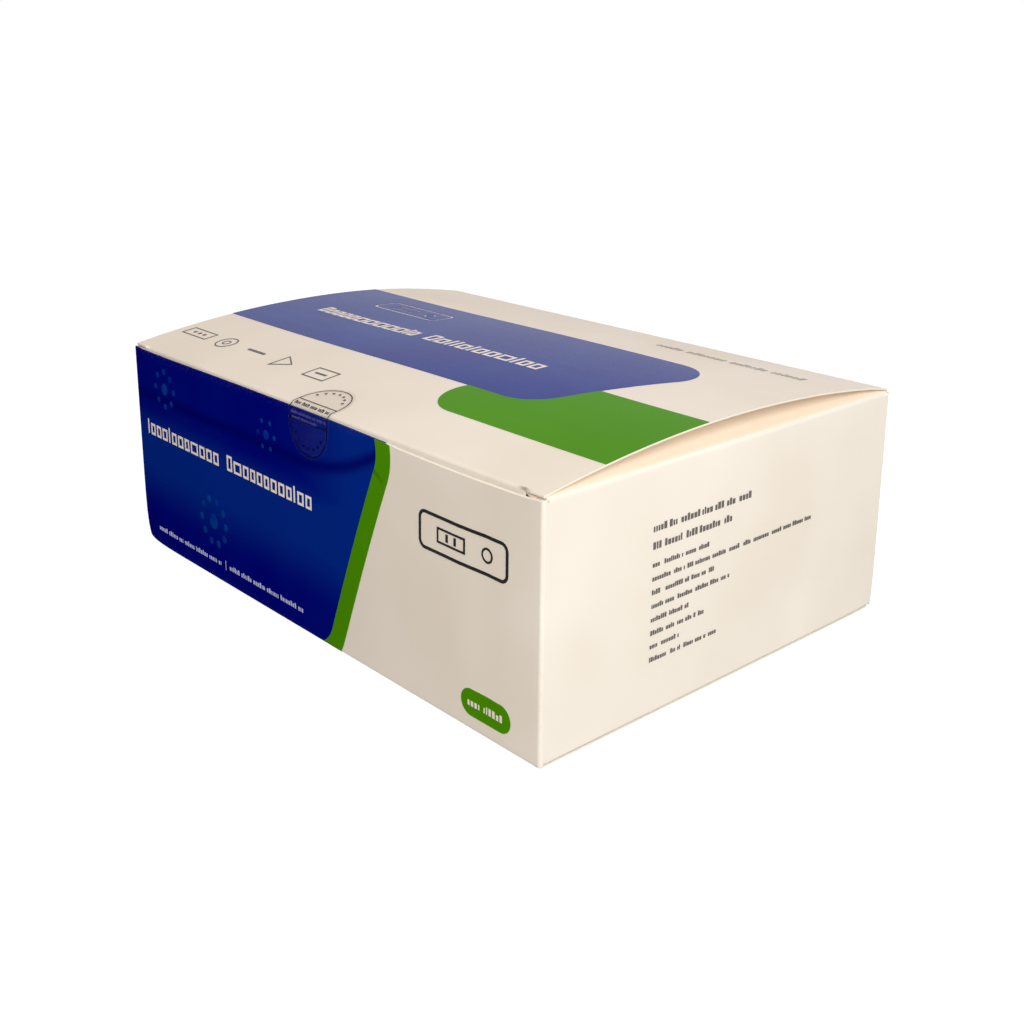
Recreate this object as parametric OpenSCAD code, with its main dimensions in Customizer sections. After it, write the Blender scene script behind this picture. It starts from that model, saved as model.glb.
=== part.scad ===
// Sealed tuck-end carton of a laboratory test kit.
// One sheet of coated folding board makes the walls, the arched lid with its tuck flap, the dust flaps,
// the bottom panel and the glue flap. Clear film seals the lid to the front wall, and the print is
// laid on the board as thin fields of colour.
// X runs along the length, -Y is the front, +Z is up, and the origin is the middle of the underside.

/* [Carton] */
// Outside length of the carton, left to right
carton_l = 200; // [180:1:230]
// Outside depth of the carton, front to back
carton_w = 142; // [132:1:170]
// Height of the lid's hinge above the table
carton_h = 70; // [62:1:90]
// Thickness of the folding board
board = 0.5; // [0.35:0.05:0.6]
// Outside radius of a crease
fold_r = 1; // [0.8:0.1:1.4]
// Gap between two plies that lie against each other
ply_gap = 0.15; // [0.1:0.05:0.3]
// How far a wall's cut edge stops short of the panel that tucks in behind it
edge_drop = 1; // [0.8:0.1:1.5]

/* [Lid] */
// Height of the arched lid's crown above its hinge
lid_rise = 6.5; // [4:0.5:10]
// How far the lid's cut ends stay inside the end walls
lid_inset = 0.5; // [0.2:0.1:1]
// Depth of the tuck flaps
tuck_l = 20; // [14:1:30]
// Radius of the tuck flaps' free corners
tuck_corner_r = 12; // [5:1:13]
// Length of the slit at each end of the lid's front crease
tuck_slit = 6.5; // [3:0.5:12]

/* [Dust flaps and glue flap] */
// Length of a dust flap, from the end wall inwards
dust_l = 55; // [40:1:65]
// Gap between a dust flap's sides and the tuck flap that hangs inside the front wall
dust_clear = 0.35; // [0.2:0.05:3]
// Length of a dust flap's straight shoulder, before its sides taper
dust_shoulder = 8; // [4:1:14]
// Taper of a dust flap's sides, in degrees
dust_taper = 12; // [5:1:20]
// Slope at which the top dust flaps spring up to the lid, in degrees
dust_rise = 25; // [12:1:35]
// Outside radius of the soft bend at the top of the end walls
dust_bend_r = 2; // [1.2:0.1:3]
// Width of the flap that is glued inside the left end wall
glue_l = 15; // [10:1:20]
// Distance from the back of the carton to the left end wall's cut edge
seam_setback = 1.2; // [1:0.1:2]

/* [Seal] */
// Width of the clear seal
seal_w = 20.6; // [16:0.2:26]
// Reach of the seal from the lid's front edge, on the lid and on the front wall
seal_reach = 14; // [12:0.5:20]
// Distance from the left end to the seal's centre line
seal_left = 104.7; // [95:0.1:115]
// Thickness of the seal's film
film = 0.08; // [0.06:0.01:0.12]
// Width of the band printed on each side of the lid's front edge
seal_band = 3.2; // [2.5:0.1:5]
// Width of the seal's printed lines
seal_line = 0.35; // [0.3:0.05:0.5]

/* [Front print] */
// Thickness of a printed field
ink = 0.1; // [0.08:0.01:0.12]
// Distance from the left end to the centre of the blue field's lower corner
front_field_l = 102.5; // [95:0.5:110]
// Lean of the blue field's right side, in degrees from upright
front_lean = 22; // [15:1:25]
// Radius of the blue field's corners
front_field_r = 12; // [8:0.5:14]
// How far the blue field runs on past the wall's cut top edge
front_bleed = 8; // [6:0.5:10]
// Width of the green band beside the blue field
front_band = 6.2; // [4:0.2:8]
// Width of the outlined emblem
emblem_w = 34; // [28:1:36]
// Height of the outlined emblem
emblem_h = 11; // [9:0.5:12]
// Line width of the emblem
emblem_line = 0.9; // [0.7:0.1:1.2]
// Where the emblem's centre lies between the green band and the right end, as a share
emblem_place = 0.54; // [0.5:0.01:0.56]
// Distance from the hinge's level down to the emblem's centre
emblem_drop = 20; // [16:0.5:24]
// Length of the round-ended green badge
badge_l = 18.6; // [16:0.2:24]
// Height of the badge
badge_h = 7.6; // [6:0.2:9]
// Distance from the right end to the badge's centre
badge_right = 19.8; // [16:0.2:26]
// Height of the badge's centre above the table
badge_z = 8; // [7:0.5:12]
// Radius of the largest ring of dots in the blue field
dots_r = 7.5; // [5:0.5:9]

/* [Lid print] */
// Distance from the front to the blue field's near edge
lid_field_near = 37.7; // [36:0.1:40]
// Distance from the front to the blue field's far edge
lid_field_far = 100.4; // [95:0.1:105]
// Distance from the left end to the centre of the blue field's near corner
lid_field_l = 144; // [135:1:150]
// Radius of the lid's field corners
lid_field_r = 14; // [10:0.5:16]
// Lean of the fields' slanted sides, in degrees
lid_lean = 17.5; // [12:0.5:22]
// Distance from the front to the green field's near edge
lid_green_near = 20.9; // [19:0.1:24]
// Distance from the front to the green field's far edge
lid_green_far = 58.8; // [54:0.1:62]
// Distance from the left end to the green field's rounded corner centre
lid_green_l = 140.5; // [136:0.5:146]
// Radius of the green field's rounded corner
lid_green_r = 12; // [9:0.5:14]

/* [Lines of print] */
// Height of a heading's bar
heading_h = 3.6; // [3:0.1:5]
// Length of each of the heading's two bars
heading_word = 47; // [40:0.5:48]
// Height of the bars in the front's bottom line
footer_h = 1.7; // [1.2:0.1:2.2]
// Height of the bars in the end wall's two top lines
end_title_h = 1.9; // [1.4:0.1:2.4]
// Height of the bars in the end wall's list
end_list_h = 1.3; // [1:0.1:1.6]
// Distance between two lines of the end wall's list
end_pitch = 3.75; // [3.4:0.05:4]
// Distance from the front to the start of the end wall's lines
end_left = 37.8; // [30:0.2:45]
// Distance from the hinge's level down to the end wall's first line
end_drop = 17.2; // [15:0.2:18]
// Gap between a heading's two bars
heading_gap = 5; // [4:0.5:6]
// Gap between two bars of a line
word_gap = 1; // [0.8:0.1:1.4]

/* [Hidden] */

// The big arch is nearly flat, so its circle takes many segments
ARCH_FN = 720;
FOLD_FN = 48;
// Slack that carries a cutting shape past the surface it cuts
over = 1;
// A straight side starts this far past its tangent point on a round corner
tangent_step = 0.4;

half_l = carton_l / 2;
half_w = carton_w / 2;
wall_top = carton_h - edge_drop;
lid_half = half_l - lid_inset;
tuck_half = lid_half - tuck_slit;
crease_half = half_l - fold_r;

// The lid is part of a cylinder that passes through the hinge and through the top of the tuck flap
tuck_y = -half_w + board + ply_gap;
arch_y = (half_w + tuck_y) / 2;
arch_chord = half_w - tuck_y;
arch_r = (arch_chord * arch_chord / 4 + lid_rise * lid_rise) / (2 * lid_rise);
arch_z = carton_h + lid_rise - arch_r;
lid_top = carton_h + lid_rise;

// Centres of the creases that join the lid to the back wall and to its tuck flap
back_y = half_w - fold_r;
front_y = tuck_y + fold_r;
crease_z = arch_z + sqrt(pow(arch_r - fold_r, 2) - pow(back_y - arch_y, 2));
leg_z = crease_z - 4;

// The top dust flap's slope starts where it would meet the end wall's face
dust_z = carton_h - board - ply_gap;
bend_x = half_l - dust_bend_r;
bend_z = dust_z - dust_bend_r * (1 / cos(dust_rise) - tan(dust_rise));
dust_half = half_w - 2 * board - ply_gap - dust_clear;

// The bottom panel is hinged on the front wall and tucks in behind the back wall
under_y = half_w - board - ply_gap;
under_fold_z = board + ply_gap + fold_r;
// The upright creases start just clear of the bottom panel
corner_low = board + ply_gap;

seal_x = seal_left - half_l;
seal_r = seal_w / 2;
// The film lies just clear of the ink under it
film_lift = ink + 0.02;
seal_ink = 0.04;

// Result window of the outlined emblem, and its place from the emblem's centre
window_l = 11;
window_h = 4.4;
window_x = -4.2;

dot_ink = 0.04;

// The lid's symbols: how far their row is from the front, their spacing, and the size of each
mark_row = 18;
mark_pitch = 17.5;
mark_line = 0.45;
box_l = 15;
box_h = 5.5;
rings_r = 4;
dash_l = 10;
dash_h = 1.2;
triangle_r = 5;
page_l = 11;
page_h = 7;

// The lid's back line: its start from the right end, and its place between the blue field and the back
back_line_l = 56;
back_line_h = 1.6;
back_line_right = 73;
back_line_place = 0.44;

// The end wall's longest line, and the distance between its two titles
end_line_l = 67;
title_pitch = 4.7;
list_gap = 0.4;
word_l = 5;

// Helpers

// Extrudes a shape drawn in (y, z) from x = a to x = b
module along_x(a, b) {
    translate([a, 0, 0]) rotate([90, 0, 90]) linear_extrude(b - a) children();
}

// Extrudes a shape drawn in (x, z) from y = a to y = b
module along_y(a, b) {
    translate([0, b, 0]) rotate([90, 0, 0]) linear_extrude(b - a) children();
}

// Rectangle given by its low and high corners
module span(low, high) {
    translate(low) square(high - low);
}

module bar(l, h) {
    r = h / 2;
    translate([r, 0]) square([l - h, h]);
    for (x = [r, l - r]) translate([x, r]) circle(r = r, $fn = 24);
}

module frame_of(l, h, line) {
    difference() {
        translate([-l / 2, -h / 2]) square([l, h]);
        translate([-l / 2 + line, -h / 2 + line]) square([l - 2 * line, h - 2 * line]);
    }
}

module ring(r, line) {
    difference() {
        circle(r = r, $fn = FOLD_FN);
        circle(r = r - line, $fn = FOLD_FN);
    }
}

// Rounded rectangle about the origin
module soft_box(l, h, r) {
    square([l - 2 * r, h], center = true);
    square([l, h - 2 * r], center = true);
    for (x = [-1, 1], y = [-1, 1]) translate([x * (l / 2 - r), y * (h / 2 - r)]) circle(r = r, $fn = 32);
}

// Walls

// One quarter of the ring that a crease leaves, about its centre; dir gives the quadrant
module crease_corner(centre, dir, r = fold_r) {
    translate(centre) intersection() {
        difference() {
            circle(r = r, $fn = FOLD_FN);
            circle(r = r - board, $fn = FOLD_FN);
        }
        scale([dir[0], dir[1]]) square(r + over);
    }
}

module upright_corners() {
    corner_x = half_l - fold_r;
    corner_y = half_w - fold_r;
    crease_corner([-corner_x, -corner_y], [-1, -1]);
    crease_corner([corner_x, -corner_y], [1, -1]);
    crease_corner([corner_x, corner_y], [1, 1]);
    // This crease turns into the glue flap, one ply inside the left end wall
    crease_corner([-corner_x + board, corner_y], [-1, 1]);
}

module end_walls_plan() {
    span([half_l - board, -back_y], [half_l, back_y]);
    span([-half_l, -back_y], [-half_l + board, half_w - seam_setback]);
}

module long_walls_plan() {
    span([-crease_half, -half_w], [crease_half, -half_w + board]);
    span([-crease_half + board, half_w - board], [crease_half, half_w]);
}

module glue_flap() {
    x = -half_l + board;
    inset = 2;
    cut = 4;
    bite = board / 4;
    low = fold_r + board + inset;
    high = wall_top - inset;
    // Its free edge is cut back at the top and bottom
    along_x(x, x + board) polygon([[back_y, low], [back_y, high], [back_y - cut, high],
        [back_y - glue_l, high - 2 * cut], [back_y - glue_l, low + 2 * cut], [back_y - cut, low]]);
    // The glue reaches a little way into both plies
    along_x(x - bite, x + bite) span([back_y - glue_l + inset, low + 3 * cut],
        [half_w - seam_setback - inset, high - 3 * cut]);
}

// The stretch of an end wall whose top or bottom edge goes over into a dust flap
module dust_gap(z_low, z_high) {
    for (side = [-1, 1])
        translate([side * half_l - over, -dust_half, z_low]) cube([2 * over, 2 * dust_half, z_high - z_low]);
}

module walls() {
    difference() {
        union() {
            translate([0, 0, corner_low]) linear_extrude(wall_top - corner_low) upright_corners();
            translate([0, 0, fold_r]) linear_extrude(wall_top - fold_r) {
                end_walls_plan();
                long_walls_plan();
            }
        }
        dust_gap(bend_z, carton_h);
        dust_gap(0, under_fold_z);
    }
    glue_flap();
}

// Lid

module arch_disc(lift) {
    translate([arch_y, arch_z]) circle(r = arch_r + lift, $fn = ARCH_FN);
}

// The sector between the two creases, above the line that joins them
module arch_sector() {
    reach = 4;
    lean = asin((back_y - arch_y) / (arch_r - fold_r));
    out_y = reach * sin(lean);
    out_z = reach * cos(lean);
    polygon([[front_y, crease_z], [front_y - out_y, crease_z + out_z], [front_y - out_y, lid_top + reach],
        [back_y + out_y, lid_top + reach], [back_y + out_y, crease_z + out_z], [back_y, crease_z]]);
}

// Everything under the folded lid's outer face, drawn in by inset
module lid_region(inset) {
    low = leg_z - (inset > 0 ? over : 0);
    intersection() {
        arch_disc(-inset);
        arch_sector();
    }
    for (y = [front_y, back_y]) translate([y, crease_z]) circle(r = fold_r - inset, $fn = FOLD_FN);
    polygon([[tuck_y + inset, low], [half_w - inset, low], [half_w - inset, crease_z], [back_y, crease_z],
        [front_y, crease_z], [tuck_y + inset, crease_z]]);
}

module lid_section() {
    difference() {
        lid_region(0);
        lid_region(board);
    }
}

// Past the slit the lid has no crease at the front, and its cut edge is straight
module lid_end_section(with_back) {
    intersection() {
        difference() {
            arch_disc(0);
            arch_disc(-board);
        }
        span([tuck_y, leg_z], [back_y, lid_top + over]);
    }
    if (with_back) intersection() {
        lid_section();
        span([back_y, leg_z - over], [half_w + over, lid_top + over]);
    }
}

// A flap that hangs from z = 0 and has rounded free corners
module tuck_outline() {
    straight = tuck_l - tuck_corner_r;
    intersection() {
        union() {
            span([-tuck_half, -straight], [tuck_half, 0]);
            span([-tuck_half + tuck_corner_r, -tuck_l], [tuck_half - tuck_corner_r, 0]);
            for (side = [-1, 1]) translate([side * (tuck_half - tuck_corner_r), -straight])
                circle(r = tuck_corner_r, $fn = 64);
        }
        span([-tuck_half, -tuck_l], [tuck_half, 0]);
    }
}

module lid() {
    along_x(-tuck_half, tuck_half) lid_section();
    for (side = [0, 1]) mirror([side, 0, 0]) {
        along_x(tuck_half, crease_half) lid_end_section(true);
        along_x(crease_half, lid_half) lid_end_section(false);
    }
    along_y(tuck_y, tuck_y + board) translate([0, leg_z + over]) tuck_outline();
}

// Dust flaps

// Plan of a dust flap, its shoulder at the end wall and its free end towards the middle
module dust_plan() {
    step = 2;
    chamfer = 5;
    shoulder_x = half_l - dust_shoulder;
    free_x = half_l - dust_l;
    free_half = dust_half - step - (dust_l - dust_shoulder) * tan(dust_taper);
    polygon([[half_l - over, -dust_half], [shoulder_x, -dust_half], [shoulder_x - step, -dust_half + step],
        [free_x + chamfer, -free_half], [free_x, -free_half + chamfer], [free_x, free_half - chamfer],
        [free_x + chamfer, free_half], [shoulder_x - step, dust_half - step], [shoulder_x, dust_half],
        [half_l - over, dust_half]]);
}

// Everything below the sprung flap's slope and inside its bend, drawn in by inset
module dust_slope(inset) {
    r = dust_bend_r - inset;
    run = dust_l + over;
    start_x = bend_x + r * sin(dust_rise);
    start_z = bend_z + r * cos(dust_rise);
    low = bend_z - (inset > 0 ? over : 0);
    translate([bend_x, bend_z]) circle(r = r, $fn = FOLD_FN);
    polygon([[start_x - run, low], [half_l - inset, low], [half_l - inset, bend_z], [bend_x, bend_z],
        [start_x, start_z], [start_x - run, start_z + run * tan(dust_rise)]]);
}

// The flap climbs from the end wall until it meets the lid, and then lies against the lid's underside
module dust_layer(inset) {
    intersection() {
        along_y(-half_w, half_w) dust_slope(inset);
        along_x(half_l - dust_l - over, half_l + over) intersection() {
            arch_disc(-board - ply_gap - inset);
            span([-half_w, bend_z - 2 * over], [half_w, lid_top]);
        }
    }
}

module top_dust_flap() {
    intersection() {
        difference() {
            dust_layer(0);
            dust_layer(board);
        }
        translate([0, 0, bend_z]) linear_extrude(lid_top) union() {
            dust_plan();
            span([half_l - 2 * over, -dust_half], [half_l + over, dust_half]);
        }
    }
}

module bottom_dust_flap() {
    z = under_fold_z - fold_r;
    along_y(-dust_half, dust_half) crease_corner([half_l - fold_r, under_fold_z], [1, -1]);
    intersection() {
        translate([0, 0, z]) linear_extrude(board) dust_plan();
        translate([0, -half_w, 0]) cube([half_l - fold_r, carton_w, carton_h]);
    }
}

// Bottom

module bottom() {
    along_x(-crease_half, crease_half) crease_corner([-back_y, fold_r], [-1, -1]);
    translate([-lid_half, -back_y, 0]) cube([2 * lid_half, under_y - fold_r + back_y, board]);
    along_x(-tuck_half, tuck_half) crease_corner([under_y - fold_r, fold_r], [1, -1]);
    along_y(under_y - board, under_y) translate([0, fold_r]) mirror([0, 1]) tuck_outline();
}

module carton() {
    color("linen") {
        walls();
        lid();
        for (side = [0, 1]) mirror([side, 0, 0]) {
            top_dust_flap();
            bottom_dust_flap();
        }
        bottom();
    }
}

// Seal

// The seal's path in (y, z) at one lift above the board: up the front wall, straight across to the
// crease, round it, and on along the lid
function seal_path(lift) =
    let (r = fold_r + lift, face_y = -half_w - lift, run = [front_y - face_y, crease_z - wall_top],
        first = 90 + atan2(run[1], run[0]) + asin(r / norm(run)),
        last = atan2(crease_z - arch_z, front_y - arch_y),
        turn = (seal_reach + over) / arch_r * 180 / PI)
    concat([[face_y, -over], [face_y, wall_top]],
        [for (i = [0:6]) let (a = first + (last - first) * i / 6)
            [front_y + r * cos(a), crease_z + r * sin(a)]],
        [for (i = [1:6]) let (a = last - turn * i / 6)
            [arch_y + (arch_r + lift) * cos(a), arch_z + (arch_r + lift) * sin(a)]]);

function backwards(list) = [for (i = [len(list) - 1:-1:0]) list[i]];

// One ply of the seal, from one lift above the board to another; the shape is drawn flat, with the
// lid's edge along y = 0, the lid above it and the front wall below it
module seal_ply(lift, thick) {
    intersection() {
        along_x(seal_x - seal_w, seal_x + seal_w)
            polygon(concat(seal_path(lift), backwards(seal_path(lift + thick))));
        union() {
            translate([seal_x, -half_w, wall_top]) linear_extrude(lid_rise + over) intersection() {
                children();
                span([-seal_w, -over], [seal_w, carton_w / 2]);
            }
            along_y(-half_w - over, -half_w + over) translate([seal_x, wall_top]) intersection() {
                children();
                span([-seal_w, -wall_top / 2], [seal_w, 0]);
            }
        }
    }
}

module seal_outline(inset) {
    r = seal_r - inset;
    straight = seal_reach - seal_r;
    span([-r, -straight], [r, straight]);
    for (y = [-straight, straight]) translate([0, y]) circle(r = r, $fn = 96);
}

module clear_seal() {
    color("gainsboro", 0.4) seal_ply(film_lift, film) seal_outline(0);
}

module seal_drawing() {
    margin = 0.9;
    dot_r = 0.45;
    dot_inset = 3.2;
    ring_r = seal_r - dot_inset;
    difference() {
        seal_outline(margin);
        seal_outline(margin + seal_line);
    }
    for (side = [-1, 1]) {
        translate([-seal_r + margin, side * seal_band - seal_line / 2])
            square([seal_w - 2 * margin, seal_line]);
        for (a = [30:20:150]) translate([ring_r * cos(a), side * (seal_reach - seal_r + ring_r * sin(a))])
            circle(r = dot_r, $fn = 16);
    }
}

module seal_print() {
    color("dimgray") seal_ply(film_lift + film, seal_ink) seal_drawing();
}

// Fields of colour

// A field that runs off to the left; its right side leans and its right corners are round
module leaning_field(left, low, high, corner_x, r, lean) {
    top_x = corner_x + (high - low - 2 * r) * tan(lean);
    side_x = r * cos(lean);
    side_y = r * sin(lean);
    step_x = tangent_step * sin(lean);
    step_y = tangent_step * cos(lean);
    translate([corner_x, low + r]) circle(r = r, $fn = 96);
    translate([top_x, high - r]) circle(r = r, $fn = 96);
    polygon([[left, low], [corner_x, low], [corner_x + side_x + step_x, low + r - side_y + step_y],
        [top_x + side_x - step_x, high - r - side_y - step_y], [top_x, high], [left, high]]);
}

// Ink on the front wall, drawn in (x, z); it goes round the bottom crease and the left upright one
module front_skin() {
    wrap = 62;
    base = -half_w;
    intersection() {
        union() {
            along_x(-crease_half, crease_half) {
                span([base - ink, fold_r], [base, wall_top]);
                translate([base + fold_r, fold_r]) intersection() {
                    ring(fold_r + ink, ink);
                    polygon([[0, 0], [-2 * fold_r, 0], [-2 * fold_r * cos(wrap), -2 * fold_r * sin(wrap)]]);
                }
            }
            translate([0, 0, fold_r]) linear_extrude(wall_top - fold_r)
                translate([-crease_half, base + fold_r]) intersection() {
                    ring(fold_r + ink, ink);
                    translate([-2 * fold_r, -2 * fold_r]) square(2 * fold_r);
                }
        }
        along_y(base - over, base + 2 * over) children();
    }
}

// Where the green band's outer side is at one height
function band_side(z) = front_field_l - half_l + (front_field_r + front_band) / cos(front_lean)
    + (z + over - front_field_r) * tan(front_lean);

module front_field(extra) {
    leaning_field(-half_l - over, -over - extra, wall_top + front_bleed + extra, front_field_l - half_l,
        front_field_r + extra, front_lean);
}

// Two bars side by side, in the place of a title's two words
module heading_bars(l, h) {
    for (i = [0, 1]) translate([i * (l + heading_gap), 0]) bar(l, h);
}

module front_lines() {
    heading_left = 6.5;
    heading_drop = 30;
    footer_left = 9.5;
    footer_z = 5.8;
    footer_right = 4;
    footer_word = (front_field_l - footer_left - footer_right - heading_gap) / 2;
    divider = 0.5;
    translate([heading_left - half_l, carton_h - heading_drop]) heading_bars(heading_word, heading_h);
    translate([footer_left - half_l, footer_z]) {
        heading_bars(footer_word, footer_h);
        translate([footer_word + heading_gap / 2 - divider / 2, -footer_h / 2])
            square([divider, 2 * footer_h]);
    }
}

module front_blue_field() {
    color("midnightblue") front_skin() difference() {
        front_field(0);
        front_lines();
    }
}

module front_green_band() {
    color("olivedrab") front_skin() difference() {
        front_field(front_band);
        front_field(0);
    }
}

// A ring of dots about a larger one
module dot_cluster(r, count) {
    circle(r = r / 3, $fn = 24);
    for (i = [0:count - 1]) rotate(i * 360 / count) translate([r, 0]) circle(r = r / 6, $fn = 16);
}

module front_dots() {
    // They lie between the left end and the seal
    room = seal_left - seal_r;
    // Shares of that room, of the wall's height and of the largest radius, and the number of dots
    clusters = [[0.21, 0.83, 0.8, 8], [0.51, 0.285, 1, 10], [0.87, 0.815, 0.6, 6]];
    color("royalblue") along_y(-half_w - ink - dot_ink, -half_w - ink) for (c = clusters)
        translate([c[0] * room - half_l, c[1] * carton_h]) dot_cluster(c[2] * dots_r, c[3]);
}

// A flat test strip holder in outline: casing, result window with two lines, and a round well
module emblem_outline() {
    corner = 2.5;
    thin = 0.6;
    well_r = 2.1;
    well_x = 9.2;
    difference() {
        soft_box(emblem_w, emblem_h, corner);
        soft_box(emblem_w - 2 * emblem_line, emblem_h - 2 * emblem_line, corner - emblem_line);
    }
    translate([window_x, 0]) frame_of(window_l, window_h, thin);
    translate([well_x, 0]) ring(well_r, thin);
}

module emblem_lines() {
    line_h = window_h / 2;
    pitch = 3.2;
    for (side = [-1, 1]) translate([window_x + side * pitch / 2 - emblem_line / 2, -line_h / 2])
        square([emblem_line, line_h]);
}

module front_emblem() {
    z = carton_h - emblem_drop;
    band_x = band_side(z);
    color("black") along_y(-half_w - ink, -half_w)
        translate([band_x + emblem_place * (half_l - band_x), z]) {
            emblem_outline();
            emblem_lines();
        }
}

module front_badge() {
    short = 5;
    long = 7.5;
    mark_h = 2;
    rest = (badge_l - short - long - word_gap) / 2;
    color("olivedrab") along_y(-half_w - ink, -half_w) translate([half_l - badge_right, badge_z])
        difference() {
            translate([-badge_l / 2, -badge_h / 2]) bar(badge_l, badge_h);
            translate([-badge_l / 2 + rest, -mark_h / 2]) bar(short, mark_h);
            translate([-badge_l / 2 + rest + short + word_gap, -mark_h / 2]) bar(long, mark_h);
        }
}

// Ink on the lid, drawn in plan
module lid_skin() {
    intersection() {
        translate([0, 0, leg_z - over]) linear_extrude(lid_top - leg_z + 2 * over) children();
        along_x(-lid_half, lid_half) intersection() {
            difference() {
                arch_disc(ink);
                arch_disc(0);
            }
            span([-half_w, leg_z - over], [half_w, lid_top + over]);
        }
    }
}

module lid_blue_plan() {
    leaning_field(-half_l - over, lid_field_near - half_w, lid_field_far - half_w, lid_field_l - half_l,
        lid_field_r, lid_lean);
}

module lid_heading_plan() {
    heading_y = 60.4;
    emblem_y = 85;
    left = 27;
    translate([left - half_l, heading_y - half_w]) heading_bars(heading_word, heading_h);
    translate([left + emblem_w / 2 - half_l, emblem_y - half_w]) emblem_outline();
}

module lid_blue_field() {
    color("darkslateblue") lid_skin() difference() {
        lid_blue_plan();
        lid_heading_plan();
    }
}

// The green field runs off the right end, and goes in under the blue one
module lid_green_field() {
    x = lid_green_l - half_l;
    near = lid_green_near - half_w;
    far = lid_green_far - half_w;
    r = lid_green_r;
    lean_x = sin(lid_lean);
    lean_y = cos(lid_lean);
    side_x = x - r * lean_y + tangent_step * lean_x;
    side_y = near + r + r * lean_x + tangent_step * lean_y;
    end_x = half_l + over;
    color("olivedrab") lid_skin() difference() {
        union() {
            translate([x, near + r]) circle(r = r, $fn = 96);
            polygon([[x + tangent_step, near], [end_x, near], [end_x, far],
                [side_x + (far - side_y) * tan(lid_lean), far], [side_x, side_y]]);
        }
        lid_blue_plan();
    }
}

// Plain outlined shapes in a row along the lid's front edge, and a line of bars near its back
module lid_marks() {
    // Places along the row, in pitches from the left end
    places = [0.71, 1.71, 2.71, 3.66, 4.83];
    field_y = lid_field_far - half_w;
    back_line_y = field_y + back_line_place * (half_w - field_y) - back_line_h / 2;
    color("dimgray") lid_skin() {
        translate([-half_l, mark_row - half_w]) {
            translate([places[0] * mark_pitch, 0]) dotted_box();
            translate([places[1] * mark_pitch, 0]) double_ring();
            translate([places[2] * mark_pitch - dash_l / 2, 0]) bar(dash_l, dash_h);
            translate([places[3] * mark_pitch, 0]) triangle_outline();
            translate([places[4] * mark_pitch, 0]) page_outline();
        }
        translate([half_l - back_line_right, back_line_y]) word_line(back_line_l, back_line_h, 2);
    }
}

module dotted_box() {
    pitch = box_l / 5;
    frame_of(box_l, box_h, mark_line);
    for (i = [-1:1]) translate([pitch * i, 0]) circle(r = pitch / 4, $fn = 16);
}

module double_ring() {
    ring(rings_r, mark_line);
    ring(rings_r * 0.4, mark_line);
}

module triangle_outline() {
    difference() {
        circle(r = triangle_r, $fn = 3);
        circle(r = triangle_r - 2 * mark_line, $fn = 3);
    }
}

module page_outline() {
    frame_of(page_l, page_h, mark_line);
    square([page_l / 2, 2 * mark_line], center = true);
}

// Lines of print

word_shares = [1, 0.68, 1.44, 0.84, 1.8, 1.2];

function word_at(i) = word_l * word_shares[i % len(word_shares)];

// Start and length of each bar of a line, until the line is full
function words(total, first, start = 0) =
    start >= total - word_gap ? [] :
    let (w = min(word_at(first), total - start))
    concat([[start, w]], words(total, first + 1, start + w + word_gap));

module word_line(total, h, first) {
    for (w = words(total, first)) translate([w[0], 0])
        if (w[1] > h) bar(w[1], h);
        else square([w[1], h]);
}

module end_lines() {
    // Each line's share of the longest one
    titles = [0.58, 0.46];
    items = [0.34, 1, 0.36, 0.46, 0.22, 0.31, 0.18, 0.4];
    list_drop = len(titles) * title_pitch + list_gap;
    color("dimgray") along_x(half_l, half_l + ink) translate([end_left - half_w, carton_h - end_drop]) {
        for (i = [0:len(titles) - 1]) translate([0, -i * title_pitch - end_title_h / 2])
            word_line(titles[i] * end_line_l, end_title_h, i);
        for (i = [0:len(items) - 1]) translate([0, -list_drop - i * end_pitch - end_list_h / 2])
            word_line(items[i] * end_line_l, end_list_h, i + 1);
    }
}

carton();
clear_seal();
seal_print();
front_blue_field();
front_green_band();
front_dots();
front_emblem();
front_badge();
lid_blue_field();
lid_green_field();
lid_marks();
end_lines();
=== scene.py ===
import math
import random

import bmesh
import bpy
from bpy.props import FloatProperty, FloatVectorProperty, PointerProperty
from bpy.types import Operator, Panel, PropertyGroup
from mathutils import Euler, Matrix, Vector
from mathutils.bvhtree import BVHTree


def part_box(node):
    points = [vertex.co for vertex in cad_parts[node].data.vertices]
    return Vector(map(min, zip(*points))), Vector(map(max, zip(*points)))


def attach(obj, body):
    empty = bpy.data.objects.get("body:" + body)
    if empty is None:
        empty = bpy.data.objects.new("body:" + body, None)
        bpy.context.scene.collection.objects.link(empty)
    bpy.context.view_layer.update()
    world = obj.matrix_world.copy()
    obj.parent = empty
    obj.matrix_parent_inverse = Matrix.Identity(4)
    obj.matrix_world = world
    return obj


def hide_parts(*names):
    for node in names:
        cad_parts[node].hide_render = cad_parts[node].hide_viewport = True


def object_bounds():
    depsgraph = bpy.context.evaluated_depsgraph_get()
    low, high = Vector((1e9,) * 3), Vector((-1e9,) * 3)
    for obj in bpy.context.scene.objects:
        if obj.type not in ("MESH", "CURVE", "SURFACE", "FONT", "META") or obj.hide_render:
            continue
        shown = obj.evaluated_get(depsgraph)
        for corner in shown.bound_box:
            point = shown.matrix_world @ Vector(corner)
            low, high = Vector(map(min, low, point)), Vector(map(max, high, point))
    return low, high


bl_info = {
    "name": "Test Kit Carton",
    "version": (1, 0, 0),
    "blender": (4, 5, 0),
    "location": "View3D > Sidebar > Carton",
    "description": "Dresses a sealed folding carton with its board, print and seal, and sets its stage",
    "category": "Object",
}

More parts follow.
